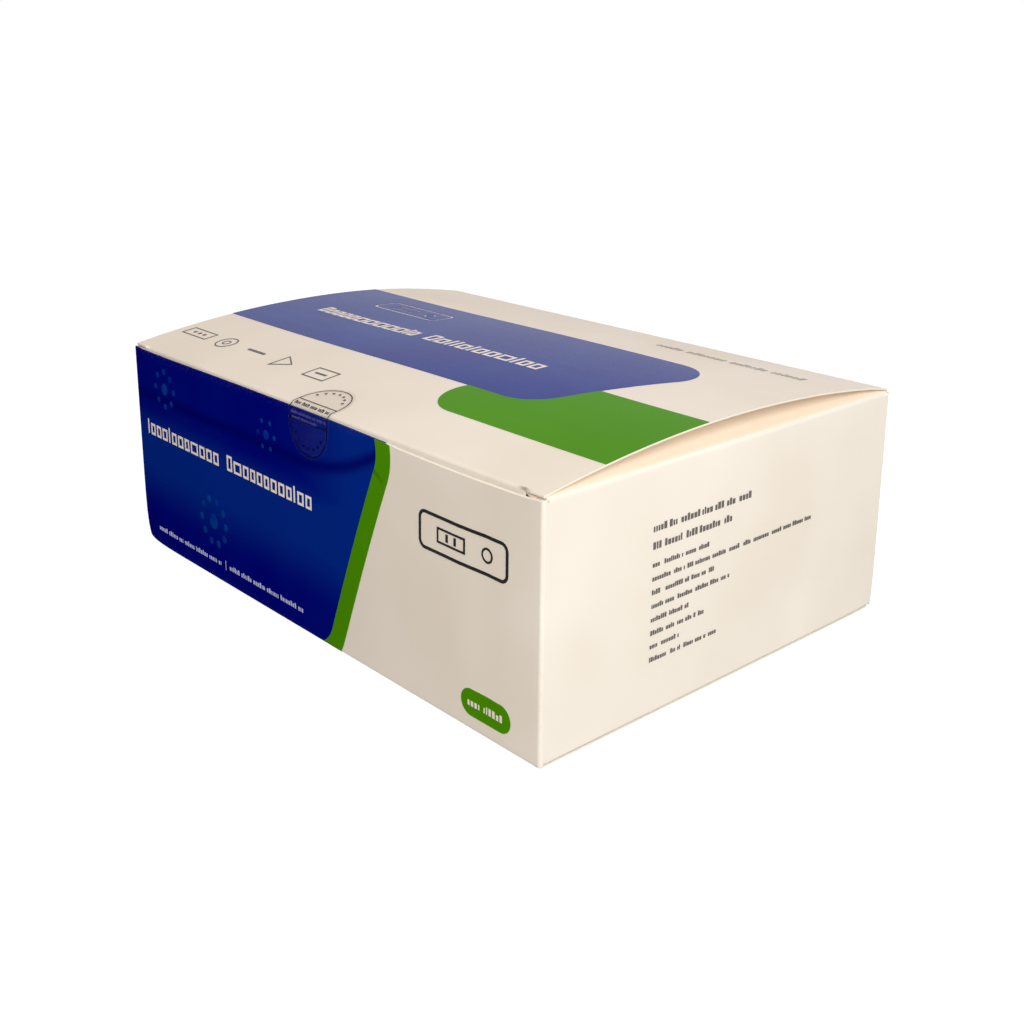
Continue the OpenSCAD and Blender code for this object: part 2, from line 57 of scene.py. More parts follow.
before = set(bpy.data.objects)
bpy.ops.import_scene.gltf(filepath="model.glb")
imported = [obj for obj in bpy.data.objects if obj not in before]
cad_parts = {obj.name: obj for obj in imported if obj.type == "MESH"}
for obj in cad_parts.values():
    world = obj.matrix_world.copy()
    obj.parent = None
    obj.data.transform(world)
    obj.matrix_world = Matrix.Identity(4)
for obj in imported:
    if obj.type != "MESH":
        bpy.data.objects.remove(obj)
CAD_LOW, CAD_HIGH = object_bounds()

MM = 0.001

# Points this close are one point, and a cut that passes this close to a point goes through it
WELD = 0.001 * MM
CUT_SLACK = 0.0005 * MM

# The carton's own planes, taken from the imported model
HALF_L = CAD_HIGH.x
BOARD_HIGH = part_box("carton")[1]
HALF_W = BOARD_HIGH.y
CROWN_Z = BOARD_HIGH.z
FRONT_TOP_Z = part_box("front_blue_field")[1].z
HINGE_Z = FRONT_TOP_Z + 1 * MM
SEAL_X = (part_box("clear_seal")[0].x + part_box("clear_seal")[1].x) / 2

# The front wall's ply ends here, and behind it lies the lid's tuck flap
FRONT_PLY_Y = -HALF_W + 0.58 * MM
BOARD_PLY = 0.5 * MM

board_tree = BVHTree.FromPolygons([vert.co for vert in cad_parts["carton"].data.vertices],
                                  [face.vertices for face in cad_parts["carton"].data.polygons])


def linear(hex_colour):
    """Turns an sRGB hex colour into the linear values that Blender's colour sockets hold."""
    parts = [int(hex_colour[i:i + 2], 16) / 255 for i in (0, 2, 4)]
    return tuple(c / 12.92 if c <= 0.04045 else ((c + 0.055) / 1.055) ** 2.4 for c in parts)


def per_mm(size_mm):
    """Noise scale that makes features of this size, in millimetres, on Object coordinates in metres."""
    return 1 / (size_mm * MM)


def colour_property(name, description, hex_colour):
    return FloatVectorProperty(name=name, description=description, subtype="COLOR", size=3,
                               min=0, max=1, default=linear(hex_colour))


def length_property(name, description, mm):
    return FloatProperty(name=name, description=description, unit="LENGTH", default=mm * MM)


class CartonForm(PropertyGroup):
    """How the full carton's board gives way between its creases."""

    grid: length_property("Grid", "Distance between the cuts that let the board bend", 5)
    wall_belly: length_property("Wall belly", "Bulge of the long walls at mid-panel", 0.5)
    end_belly: length_property("End belly", "Bulge of the end walls at mid-panel", 0.6)
    lid_wave: length_property("Lid wave", "Height of the long wave along the lid", 0.25)
    lid_ridge: length_property("Lid ridge", "Height of the soft ridge towards the lid's back", 0.35)
    top_sag: length_property("Top sag", "Sag of the front wall's cut top edge", 0.9)
    buckle: length_property("Buckle", "Depth of the faint upright buckles in the walls", 0.22)
    lip: length_property("Lip", "Drop of the outer rim of the front wall's cut top edge", 0.28)
    corner_crush: length_property("Corner crush", "How far the knocked lower corners are pressed in", 0.9)


class CartonColours(PropertyGroup):
    """Colours of the board, its print and its seal."""

    board: colour_property("Board", "White clay-coated face of the board", "f6f0e8")
    board_shade: colour_property("Board shade", "Cloudy darker tone of the coated face", "f0e8dd")
    raw_edge: colour_property("Raw edge", "Cut edge of the board", "fcf5e8")
    # The flaps' colour is darker and warmer than the coating and paints the lid's shade onto the dust flaps;
    # only their matt gloss stands for bare board
    flap: colour_property("Flap", "Unvarnished face of the dust flaps", "f6e4d0")
    worn: colour_property("Worn crease", "Rubbed coating along the creases", "d9cdc0")
    # The front's blue and the lid's blue are one ink. The front's pair is set darker: painted shade of the
    # dimmer light on the front wall. The front's lighter blue is also where its painted reflection leads.
    front_blue: colour_property("Front blue", "Deep blue of the front's print", "010480")
    front_blue_light: colour_property("Front blue, light", "Lighter stretches of the front's blue", "042a92")
    lid_blue: colour_property("Lid blue", "Deep blue of the lid's print", "03258c")
    lid_blue_light: colour_property("Lid blue, light", "Lighter clouds in the lid's blue", "0a3698")
    green: colour_property("Green", "Leaf green of the print", "4f9805")
    light_blue: colour_property("Light blue", "Lighter blue of the dots in the front's field", "08409a")
    dark: colour_property("Dark grey", "Dark grey of the lines and symbols", "3a3836")
    text: colour_property("Text grey", "Grey of the end wall's lines", "5a5450")
    faint: colour_property("Faint grey", "Grey of the print along the lid's back", "8d867e")
    fine_print: colour_property("Fine print", "Pale lavender of the front's small print", "c2caf0")
    seal_ink: colour_property("Seal ink", "Near-black of the seal's lines", "14141c")
    seal_pale: colour_property("Seal, pale print", "Lavender of the seal's small print", "5a5cb0")
    black: colour_property("Black", "Black of the emblem", "0c0c0e")
    film: colour_property("Film", "Clear film of the seal", "50505c")


class StageSettings(PropertyGroup):
    """The camera, the lamps and the floor."""

    camera_place: FloatVectorProperty(name="Camera place", description="Where the camera stands",
                                      subtype="TRANSLATION", unit="LENGTH", size=3,
                                      default=(0.3015, -0.2644, 0.1721))
    camera_turn: FloatVectorProperty(name="Camera turn", description="Azimuth, elevation and roll",
                                     subtype="EULER", unit="ROTATION", size=3,
                                     default=(math.radians(48.13), math.radians(15.26), math.radians(0.29)))
    lens: FloatProperty(name="Lens", description="Focal length in millimetres on a 36 mm sensor",
                        subtype="DISTANCE_CAMERA", default=45.9)
    key_power: FloatProperty(name="Key power", description="Power of the softbox on the right",
                             unit="POWER", default=7.0)
    key_colour: colour_property("Key colour", "Colour of the softbox on the right", "f2f7f7")
    fill_strength: FloatProperty(name="Fill strength", description="Strength of the light all round",
                                 default=0.455)
    fill_colour: colour_property("Fill colour", "Colour of the light all round", "ffe8d2")
    floor: colour_property("Floor", "Pale floor", "a5a3a0")


def add_node(tree, kind, inputs=None, **settings):
    """Adds a node, sets its settings, and fills its inputs with values or with links from other sockets."""
    node = tree.nodes.new(kind)
    for name, value in settings.items():
        setattr(node, name, value)
    for name, value in (inputs or {}).items():
        if isinstance(value, bpy.types.NodeSocket):
            tree.links.new(value, node.inputs[name])
        else:
            node.inputs[name].default_value = value
    return node


def new_material(name):
    """An empty node material, and its tree."""
    material = bpy.data.materials.new(name)
    material.use_nodes = True
    material.node_tree.nodes.clear()
    return material, material.node_tree


def rgba(colour):
    return (*colour, 1)


# Sockets of the Mix node when it mixes colours
MIX_FACTOR, MIX_A, MIX_B, MIX_RESULT = 0, 6, 7, 2

GRAIN_MM = 0.9
WAVE_MM = 14
CLOUD_MM = 50
SPECK_MM = 0.8

# Refractive indices of varnished ink, of the white coating and of bare pulp
INK_IOR = 1.45
COATING_IOR = 1.47
PULP_IOR = 1.4
COATING_ROUGHNESS = 0.38
# The green's darker clouds and the print on the cut edge, in shares of their colours
GREEN_SHADE = 0.92
EDGE_PRINT = 0.5

# The darker band across the front's blue, a painted dark reflection: its height at mid-length, how it rises
# to the right, its reach
BAND_Z = 53.7 * MM
BAND_BEND = 0.0077 / MM
BAND_REACH = 3.6 * MM

# The front's blue grows light, a painted reflection, from the first place to the second: below the band, to
# the right, off the foot
LIGHT_BELOW = (BAND_REACH, 4 * BAND_REACH)
LIGHT_RIGHT = (-5 * MM, 30 * MM)
LIGHT_HEIGHT = (11 * MM, 32 * MM)
# In shares: how much the clouds add to that painted light, how full the painted band is, and what it leaves
# of the colour
FRONT_CLOUDS = 0.15
BAND_FULL = 0.85
BAND_DARK = 0.7


def ramp(tree, value, low, high):
    """Smooth step from 0 at low to 1 at high, as a socket."""
    return add_node(tree, "ShaderNodeMapRange", {"Value": value, "From Min": low, "From Max": high},
                    interpolation_type="SMOOTHSTEP").outputs["Result"]


def front_painted_reflection(tree, where):
    """How much of the soft curved band, a painted dark reflection across the front's blue, lies at a place,
    and how much painted reflection lightens the blue round the band there."""
    place = add_node(tree, "ShaderNodeSeparateXYZ", {"Vector": where})
    right = add_node(tree, "ShaderNodeMath", {0: place.outputs["X"], 1: 0.0}, operation="MAXIMUM")
    square = add_node(tree, "ShaderNodeMath", {0: right.outputs["Value"], 1: 2.0}, operation="POWER")
    height = add_node(tree, "ShaderNodeMath", {0: square.outputs["Value"], 1: BAND_BEND, 2: BAND_Z},
                      operation="MULTIPLY_ADD")
    above = add_node(tree, "ShaderNodeMath", {0: place.outputs["Z"], 1: height.outputs["Value"]},
                     operation="SUBTRACT")
    away = add_node(tree, "ShaderNodeMath", {0: above.outputs["Value"]}, operation="ABSOLUTE")
    band = add_node(tree, "ShaderNodeMapRange",
                    {"Value": away.outputs["Value"], "From Max": BAND_REACH,
                     "To Min": BAND_FULL, "To Max": 0.0},
                    interpolation_type="SMOOTHSTEP").outputs["Result"]
    below = add_node(tree, "ShaderNodeMath", {0: above.outputs["Value"], 1: -1.0}, operation="MULTIPLY")
    lit = add_node(tree, "ShaderNodeMath",
                   {0: ramp(tree, below.outputs["Value"], *LIGHT_BELOW),
                    1: ramp(tree, place.outputs["X"], *LIGHT_RIGHT)}, operation="MAXIMUM")
    light = add_node(tree, "ShaderNodeMath",
                     {0: lit.outputs["Value"], 1: ramp(tree, place.outputs["Z"], *LIGHT_HEIGHT)},
                     operation="MULTIPLY")
    return band, light.outputs["Value"]


def board_surface(name, colour, shade, worn, roughness, ior=INK_IOR, cloud_mm=CLOUD_MM, specular=0.5,
                  wear_limit=0.1, painted_reflection=False):
    """Clay-coated folding board, printed and varnished: a soft gloss over a fine grain that breaks up
    reflections, a board that is never quite flat, and a coating that is rubbed along the creases."""
    material, tree = new_material(name)
    where = add_node(tree, "ShaderNodeTexCoord").outputs["Object"]
    cloud = add_node(tree, "ShaderNodeTexNoise",
                     {"Vector": where, "Scale": per_mm(cloud_mm), "Detail": 2, "Roughness": 0.5})
    grain = add_node(tree, "ShaderNodeTexNoise",
                     {"Vector": where, "Scale": per_mm(GRAIN_MM), "Detail": 4, "Roughness": 0.6})
    wave = add_node(tree, "ShaderNodeTexNoise",
                    {"Vector": where, "Scale": per_mm(WAVE_MM), "Detail": 1, "Roughness": 0.4})
    speck = add_node(tree, "ShaderNodeTexNoise",
                     {"Vector": where, "Scale": per_mm(SPECK_MM), "Detail": 3, "Roughness": 0.7})
    crease = add_node(tree, "ShaderNodeAttribute", attribute_name="crease", attribute_type="GEOMETRY")
    rubbed = add_node(tree, "ShaderNodeMapRange",
                      {"Value": speck.outputs["Fac"], "From Min": 0.5, "From Max": 0.68,
                       "To Min": 0.0, "To Max": wear_limit})
    wear = add_node(tree, "ShaderNodeMath", {0: rubbed.outputs["Result"], 1: crease.outputs["Fac"]},
                    operation="MULTIPLY")
    cloudy = add_node(tree, "ShaderNodeMapRange",
                      {"Value": cloud.outputs["Fac"], "From Min": 0.35, "From Max": 0.65})
    shading = cloudy.outputs["Result"]
    # Painted reflection: a dark curved band across the colour, and lighter blue round it, fixed to the
    # surface
    if painted_reflection:
        band, light = front_painted_reflection(tree, where)
        shading = add_node(tree, "ShaderNodeMath", {0: shading, 1: FRONT_CLOUDS, 2: light},
                           operation="MULTIPLY_ADD", use_clamp=True).outputs["Value"]
    tone = add_node(tree, "ShaderNodeMix", {MIX_FACTOR: shading, MIX_A: rgba(colour), MIX_B: rgba(shade)},
                    data_type="RGBA")
    if painted_reflection:
        tone = add_node(tree, "ShaderNodeMix",
                        {MIX_FACTOR: band, MIX_A: tone.outputs[MIX_RESULT],
                         MIX_B: rgba([c * BAND_DARK for c in colour])}, data_type="RGBA")
    base = add_node(tree, "ShaderNodeMix",
                    {MIX_FACTOR: wear.outputs["Value"], MIX_A: tone.outputs[MIX_RESULT], MIX_B: rgba(worn)},
                    data_type="RGBA")
    gloss = add_node(tree, "ShaderNodeMapRange",
                     {"Value": grain.outputs["Fac"], "To Min": roughness - 0.05, "To Max": roughness + 0.07})
    waves = add_node(tree, "ShaderNodeBump",
                     {"Strength": 0.5, "Distance": 0.06 * MM, "Height": wave.outputs["Fac"]})
    grains = add_node(tree, "ShaderNodeBump",
                      {"Strength": 0.25, "Distance": 0.01 * MM, "Height": grain.outputs["Fac"],
                       "Normal": waves.outputs["Normal"]})
    shader = add_node(tree, "ShaderNodeBsdfPrincipled",
                      {"Base Color": base.outputs[MIX_RESULT], "Roughness": gloss.outputs["Result"],
                       "IOR": ior, "Specular IOR Level": specular, "Normal": grains.outputs["Normal"]})
    add_node(tree, "ShaderNodeOutputMaterial", {"Surface": shader.outputs["BSDF"]})
    return material


def bare_coating(name, colours, wear_limit=0.1):
    """The white coating itself, where there is no ink, and where the ink leaves letters out."""
    return board_surface(name, colours.board, colours.board_shade, colours.worn, COATING_ROUGHNESS,
                         COATING_IOR, specular=0.2, wear_limit=wear_limit)


def green_ink(name, colours, specular):
    """The green of the bands and the badge, with faint darker clouds."""
    return board_surface(name, colours.green, [c * GREEN_SHADE for c in colours.green], colours.board, 0.32,
                         specular=specular)


def cut_board(name, colour):
    """Cut edge of the board: matt pulp with layers along it, a little darker than the coating."""
    material, tree = new_material(name)
    where = add_node(tree, "ShaderNodeTexCoord").outputs["Object"]
    fibre = add_node(tree, "ShaderNodeTexNoise",
                     {"Vector": where, "Scale": per_mm(0.5), "Detail": 3, "Roughness": 0.7})
    shade = add_node(tree, "ShaderNodeMapRange",
                     {"Value": fibre.outputs["Fac"], "To Min": 0.86, "To Max": 1.0})
    base = add_node(tree, "ShaderNodeMix",
                    {MIX_FACTOR: 1.0, MIX_A: rgba(colour), MIX_B: shade.outputs["Result"]},
                    data_type="RGBA", blend_type="MULTIPLY")
    shader = add_node(tree, "ShaderNodeBsdfPrincipled",
                      {"Base Color": base.outputs[MIX_RESULT], "Roughness": 0.85, "IOR": PULP_IOR})
    add_node(tree, "ShaderNodeOutputMaterial", {"Surface": shader.outputs["BSDF"]})
    return material


def clear_film(name, colour, alpha, roughness, specular):
    """Polypropylene film, or thin ink on it: smooth, and seen through, with a slight ripple."""
    material, tree = new_material(name)
    where = add_node(tree, "ShaderNodeTexCoord").outputs["Object"]
    ripple = add_node(tree, "ShaderNodeTexNoise",
                      {"Vector": where, "Scale": per_mm(7), "Detail": 2, "Roughness": 0.5})
    bump = add_node(tree, "ShaderNodeBump",
                    {"Strength": 0.6, "Distance": 0.15 * MM, "Height": ripple.outputs["Fac"]})
    shader = add_node(tree, "ShaderNodeBsdfPrincipled",
                      {"Base Color": rgba(colour), "Roughness": roughness, "IOR": 1.49,
                       "Specular IOR Level": specular, "Alpha": alpha, "Normal": bump.outputs["Normal"]})
    add_node(tree, "ShaderNodeOutputMaterial", {"Surface": shader.outputs["BSDF"]})
    return material


def rise(value, low, high):
    """Smooth step from 0 at low to 1 at high."""
    share = min(1, max(0, (value - low) / (high - low)))
    return share * share * (3 - 2 * share)


def within(value, start, end):
    """1 between two stretches, and 0 outside them: it rises over the first and falls over the second."""
    return rise(value, *start) * (1 - rise(value, *end))


def hump(value, centre, width):
    """Bell of height 1 about a centre."""
    return math.exp(-((value - centre) / width) ** 2)


# A wall's face begins at this share of the way out, and the lid takes over between these heights
FACE_SHARE = 0.93
LID_BLEND_LOW = HINGE_Z - 4 * MM
LID_BLEND_HIGH = HINGE_Z + 2 * MM
# The long wave along the lid: radians per half length, and its phase
LID_WAVES = 4.2
LID_WAVE_START = 0.8
# Faint upright buckles: where they lie along the wall, how wide they are, and their share of the depth
END_BUCKLES = ((-52 * MM, 5 * MM, 1.0), (-38 * MM, 4 * MM, -0.6), (24 * MM, 9 * MM, 0.5))
FRONT_BUCKLES = ((79 * MM, 3.5 * MM, 1.0), (71 * MM, 5 * MM, -0.7), (-30 * MM, 12 * MM, 0.8))
# Over which shares of the wall's height the buckles come in and fade out
END_BUCKLE_LEVELS = ((0, 0.1), (0.15, 0.9))
FRONT_BUCKLE_LEVELS = ((0, 0.25), (0.75, 1))
# The cut top edge is bare from here on, past the front's printed field, and its outer rim drops. The drop
# grows over the run, and the rim is what lies this near the outer face and the top
LIP_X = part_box("front_green_band")[1].x - 2 * MM
LIP_RUN = 3 * MM
RIM = 0.05 * MM
# Where the front wall's cut top edge sags, how wide, and its share of the deepest sag; and the share of the
# way to the corner at which the sag begins to fade
TOP_SAGS = ((68 * MM, 36 * MM, 1.0), (-80 * MM, 30 * MM, 0.35))
SAG_SHARE = 0.94
# The soft ridge towards the back of the lid: its place at mid-length, its lean, and its slope's reach
RIDGE_MID = 50 * MM
RIDGE_LEAN = 0.15
RIDGE_REACH = 45 * MM
# A ray starts this far off its face, and one that goes further than this inside the board runs along it
RAY_START = 0.01 * MM
PAST_PLY = 1.4 * BOARD_PLY
# The cut top edge looks up by at least this much
EDGE_TILT = 0.9
# A flap's face looks up by at least this much, lies above this height and at most this far under the lid,
# and gets the flaps' painted shade
FLAP_TILT = 0.25
FLAP_LOW = 0.9 * FRONT_TOP_Z
FLAP_DEPTH = 9 * MM
# The top dust flaps' front sides, which spread out into the slits beside the tuck flap
DUST_SIDE_Y = HALF_W - 1.5 * MM
DUST_SIDE_BAND = 0.2 * MM
DUST_SIDE_LOW = HINGE_Z - 3.5 * MM
DUST_SPREAD = 0.7 * MM
DUST_DROP = 0.9 * MM
# Along the carton, the slit opens over the first stretch and closes over the second
SLIT_START = (HALF_L - 6.8 * MM, HALF_L - 5.5 * MM)
SLIT_END = (HALF_L - 2 * MM, HALF_L - 0.8 * MM)
# Blocks that stand for small print: widths, heights, gaps and the least last one in shares of a line's
# height, and how many make a word
LETTER_WIDTHS = (0.24, 0.38, 0.44, 0.5)
LETTER_HEIGHTS = (0.74, 0.74, 0.74, 1.0)
LETTER_GAP = 0.24
WORD_LETTERS = (3, 8)
WORD_GAP = 0.5
LAST_LETTER = 0.3
# Bars that are taller than this are large print
LARGE_PRINT = 3 * MM
# It is made of hollow blocks, and of stems where they are narrow: their widths, gap, stroke and pitch, in
# shares of their height
HEADING_WIDTHS = (0.24, 0.66, 0.7, 0.74, 0.74, 1.0)
HEADING_STEM = 0.4
HEADING_GAP = 0.22
HEADING_STROKE = 0.2
HEADING_PITCH = 0.93
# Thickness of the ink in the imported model
INK = 0.1 * MM
# The line of print along the lid's back: its corners
BACK_PRINT = (Vector((28, 47.4)) * MM, Vector((86, 50.8)) * MM)
# Knocked lower corners: direction along x and y, and how hard
KNOCKS = ((-1, -1, 1.8), (1, 1, 0.5), (-1, 1, 0.7))
KNOCK_REACH = 5 * MM
KNOCK_LIFT = 0.9
# A crease is full within the first distance of its line, and over at the second
CREASE = (0.3 * MM, 1.4 * MM)
# Facets that meet at less than this look round
SHARP_ANGLE = math.radians(28)


def wall_give(point, form):
    """Bellies and faint buckles of the walls, as a vector."""
    u = point.x / HALF_L
    v = point.y / HALF_W
    level = min(1, point.z / HINGE_Z)
    swell = math.sin(math.pi * level)
    move = Vector((0, 0, 0))
    move.x += u * form.end_belly * (1 - v * v) * swell
    move.y += v * form.wall_belly * (1 - u * u) * swell
    if v < 0:
        depth = sum(hump(point.x, x, w) * k for x, w, k in FRONT_BUCKLES)
        move.y += form.buckle * depth * rise(-v, FACE_SHARE, 1) * within(level, *FRONT_BUCKLE_LEVELS)
    if u > 0:
        depth = sum(hump(point.y, y, w) * k for y, w, k in END_BUCKLES)
        move.x -= form.buckle * depth * rise(u, FACE_SHARE, 1) * within(level, *END_BUCKLE_LEVELS)
    return move


def lid_rise(point, form):
    """How far the long wave and the soft ridge lift the lid."""
    v = point.y / HALF_W
    wave = form.lid_wave * math.sin(LID_WAVES * point.x / HALF_L + LID_WAVE_START) * (1 - v * v)
    ridge_y = RIDGE_MID + RIDGE_LEAN * point.x
    behind = max(0, (point.y - ridge_y) / (HALF_W - ridge_y))
    before = max(0, (ridge_y - point.y) / RIDGE_REACH)
    ridge = form.lid_ridge * max(0, 1 - behind - before)
    return (wave + ridge) * rise(point.z, LID_BLEND_LOW, LID_BLEND_HIGH)


def top_edge_drop(point, form):
    """How far the front wall's cut top edge sags, and its outer rim with it."""
    sag = sum(hump(point.x, x, w) * k for x, w, k in TOP_SAGS)
    off_corner = 1 - rise(abs(point.x / HALF_L), SAG_SHARE, 1)
    drop = form.top_sag * sag * off_corner * rise(point.z, HINGE_Z / 2, HINGE_Z)
    if point.y < -HALF_W + RIM and point.z > FRONT_TOP_Z - RIM:
        drop += form.lip * rise(point.x, LIP_X, LIP_X + LIP_RUN)
    return drop


def give(point, form):
    """How far the board at this place has given way, as a vector."""
    move = wall_give(point, form)
    move.z += lid_rise(point, form)
    if point.y < FRONT_PLY_Y:
        move.z -= top_edge_drop(point, form)
    if abs(point.y + DUST_SIDE_Y) < DUST_SIDE_BAND and point.z > DUST_SIDE_LOW:
        move -= Vector((0, DUST_SPREAD, DUST_DROP)) * within(abs(point.x), SLIT_START, SLIT_END)
    for side_x, side_y, force in KNOCKS:
        corner = Vector((side_x * HALF_L, side_y * HALF_W, 0))
        near = math.exp(-(point - corner).length / KNOCK_REACH)
        push = Vector((-side_x, -side_y, KNOCK_LIFT)).normalized()
        move += push * form.corner_crush * force * near
    return move


def crease_share(point):
    """1 on a crease line of the carton and 0 from a few millimetres away from it."""
    gaps = sorted((abs(HALF_L - abs(point.x)), abs(HALF_W - abs(point.y)),
                   min(abs(point.z), abs(HINGE_Z - point.z))))
    return 1 - rise(math.hypot(gaps[0], gaps[1]), *CREASE)


def cut_planes(low, high, step, near_edge=2.5 * MM):
    """Places of the cuts across one direction: an even grid, and one more just inside each end."""
    count = max(1, round((high - low) / step))
    places = [low + (high - low) * i / count for i in range(1, count)]
    return [low + near_edge, *places, high - near_edge]


def cut_through(bm, place, normal):
    """Cuts every face that a plane crosses."""
    bmesh.ops.bisect_plane(bm, geom=[*bm.verts, *bm.edges, *bm.faces], dist=CUT_SLACK, plane_co=place,
                           plane_no=normal)


def mark_board(bm):
    """Gives material 1 to cut edges, which have more than a ply of board behind them, 2 to the cut edge that
    the front's print runs over, and 3 to the flaps, which look up at the lid from close below, in a colour
    that paints the lid's shade onto them."""
    cut_through(bm, (LIP_X, 0, 0), (1, 0, 0))
    bm.normal_update()
    tree = BVHTree.FromBMesh(bm)
    up = Vector((0, 0, 1))
    for face in bm.faces:
        centre = face.calc_center_median()
        inward = -face.normal
        distance = tree.ray_cast(centre + inward * RAY_START, inward)[3]
        if distance and distance > PAST_PLY:
            over_print = centre.y < FRONT_PLY_Y and centre.x < LIP_X and face.normal.z > EDGE_TILT
            face.material_index = 2 if over_print else 1
        elif face.normal.z > FLAP_TILT and centre.z > FLAP_LOW:
            distance = tree.ray_cast(centre + up * RAY_START, up)[3]
            if distance and distance < FLAP_DEPTH:
                face.material_index = 3


def islands(bm, faces):
    """Splits faces into groups that hang together, and gives each group's low and high corners."""
    left = set(faces)
    boxes = []
    while left:
        reached = [left.pop()]
        for face in reached:
            for edge in face.edges:
                for other in edge.link_faces:
                    if other in left:
                        left.remove(other)
                        reached.append(other)
        corners = [vert.co for face in reached for vert in face.verts]
        low = Vector([min(co[axis] for co in corners) for axis in range(3)])
        high = Vector([max(co[axis] for co in corners) for axis in range(3)])
        boxes.append((low, high))
    return sorted(boxes, key=lambda box: tuple(box[0]))


# A face that looks through the ink by less than this is a side of a cut in it
SIDE_TILT = 0.5


def bars_in(node, through=None):
    """Boxes of a print node's bars; with a direction, of the bars that are cut through its ink instead."""
    bm = bmesh.new()
    bm.from_mesh(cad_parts[node].data)
    bmesh.ops.remove_doubles(bm, verts=bm.verts, dist=WELD)
    faces = [face for face in bm.faces if through is None or abs(face.normal[through]) < SIDE_TILT]
    boxes = islands(bm, faces)
    bm.free()
    return boxes


def on_front(place):
    """Takes a place along, up and out of the front wall to where it lies."""
    return Vector((place.x, -HALF_W - place.z, place.y))


def on_end(place):
    """Takes a place along, up and out of the right end wall to where it lies."""
    return Vector((HALF_L + place.z, place.x, place.y))


def on_lid(place):
    """Takes a place along, across and above the arched lid to where it lies."""
    high = Vector((place.x, place.y, 2 * CROWN_Z))
    return Vector((place.x, place.y, board_tree.ray_cast(high, Vector((0, 0, -1)))[0].z + place.z))


def add_block(bm, low, high, onto, material=0):
    """A block between two corners that are given along, up and out of a wall."""
    matrix = Matrix.Translation((low + high) / 2) @ Matrix.Diagonal((*(high - low), 1))
    verts = bmesh.ops.create_cube(bm, size=1, matrix=matrix)["verts"]
    for face in {face for vert in verts for face in vert.link_faces}:
        face.material_index = material
    for vert in verts:
        vert.co = onto(vert.co)


# How far a bar's fill and the blocks on it stand out of a wall, and where the blocks begin, in shares of
# the ink's thickness
FILL_OUT = 0.9
LETTER_OUT = {on_front: 1.15, on_lid: 1.8}
LETTER_ROOT = 0.5
# Bars in a field of ink are lower than this
BAR_HEIGHT = 4 * MM

# The seal's rows of small print: both ends from its middle and both long sides on the wall or lid, in mm,
# with the wall and the material; how far out they reach, and the share of it at which they begin
SEAL_ROWS = (((-8.6, 8.6), (67.3, 68.2), on_front, 1), ((-8.2, 4.2), (65.8, 66.6), on_front, 1),
             ((-8.4, 8.4), (-70.2, -69.1), on_lid, 0))
SEAL_OUT = -HALF_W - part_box("seal_print")[0].y
SEAL_ROOT = 0.6


def small_print(low, high, dice):
    """Solid blocks with the rhythm of small print, as corners in the wall's plane."""
    height = high.y - low.y
    start = low.x
    blocks = []
    letters_left = dice.randint(*WORD_LETTERS)
    while start < high.x - LAST_LETTER * height:
        end = min(start + dice.choice(LETTER_WIDTHS) * height, high.x)
        top = low.y + height * dice.choice(LETTER_HEIGHTS)
        blocks.append((Vector((start, low.y)), Vector((end, top))))
        start = end + LETTER_GAP * height
        letters_left -= 1
        if letters_left == 0:
            start += WORD_GAP * height
            letters_left = dice.randint(*WORD_LETTERS)
    return blocks


def frame_strokes(low, high, stroke):
    """The four strokes of a hollow block."""
    inner_low = low + Vector((stroke, stroke))
    inner_high = high - Vector((stroke, stroke))
    return [(low, Vector((high.x, inner_low.y))), (Vector((low.x, inner_high.y)), high),
            (Vector((low.x, inner_low.y)), Vector((inner_low.x, inner_high.y))),
            (Vector((inner_high.x, inner_low.y)), Vector((high.x, inner_high.y)))]


def large_print(low, high, tall, dice):
    """Hollow blocks and taller stems with the rhythm of a word in large print."""
    height = high.y - low.y
    widths = [dice.choice(HEADING_WIDTHS) for _ in range(round((high.x - low.x) / (HEADING_PITCH * height)))]
    unit = (high.x - low.x) / (sum(widths) + HEADING_GAP * (len(widths) - 1))
    stroke = HEADING_STROKE * height
    start = low.x
    strokes = []
    for i, width in enumerate(widths):
        end = start + width * unit
        top = low.y + height * (tall if i == 0 or width < HEADING_STEM else 1)
        if width < HEADING_STEM:
            strokes.append((Vector((start, low.y)), Vector((start + stroke, top))))
        else:
            strokes += frame_strokes(Vector((start, low.y)), Vector((end, top)), stroke)
        start = end + HEADING_GAP * unit
    return strokes


def copy_of(node_names):
    """A bmesh of the named nodes' own meshes, with their loose triangles joined."""
    bm = bmesh.new()
    for node in node_names:
        bm.from_mesh(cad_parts[node].data)
    for face in bm.faces:
        face.material_index = 0
    bmesh.ops.remove_doubles(bm, verts=bm.verts, dist=WELD)
    return bm


def dressed(bm, node_names, name, materials, form):
    """One piece that stands for CAD nodes, cut into a grid and bent as the full carton's board is."""
    for axis, (low, high) in enumerate(zip(CAD_LOW, CAD_HIGH)):
        normal = Vector((0, 0, 0))
        normal[axis] = 1
        for place in cut_planes(low, high, form.grid):
            cut_through(bm, normal * place, normal)
    crease = bm.verts.layers.float.new("crease")
    for vert in bm.verts:
        vert[crease] = crease_share(vert.co)
        vert.co += give(vert.co, form)
    for face in bm.faces:
        face.smooth = True
    mesh = bpy.data.meshes.new(name)
    bm.to_mesh(mesh)
    bm.free()
    mesh.set_sharp_from_angle(angle=SHARP_ANGLE)
    piece = bpy.data.objects.new(name, mesh)
    bpy.context.scene.collection.objects.link(piece)
    for material in materials:
        mesh.materials.append(material)
    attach(piece, "root")
    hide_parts(*node_names)
    return piece


def dressed_node(node, name, material, form):
    """A print node as it is, bent with the board."""
    dressed(copy_of([node]), [node], name, [material], form)


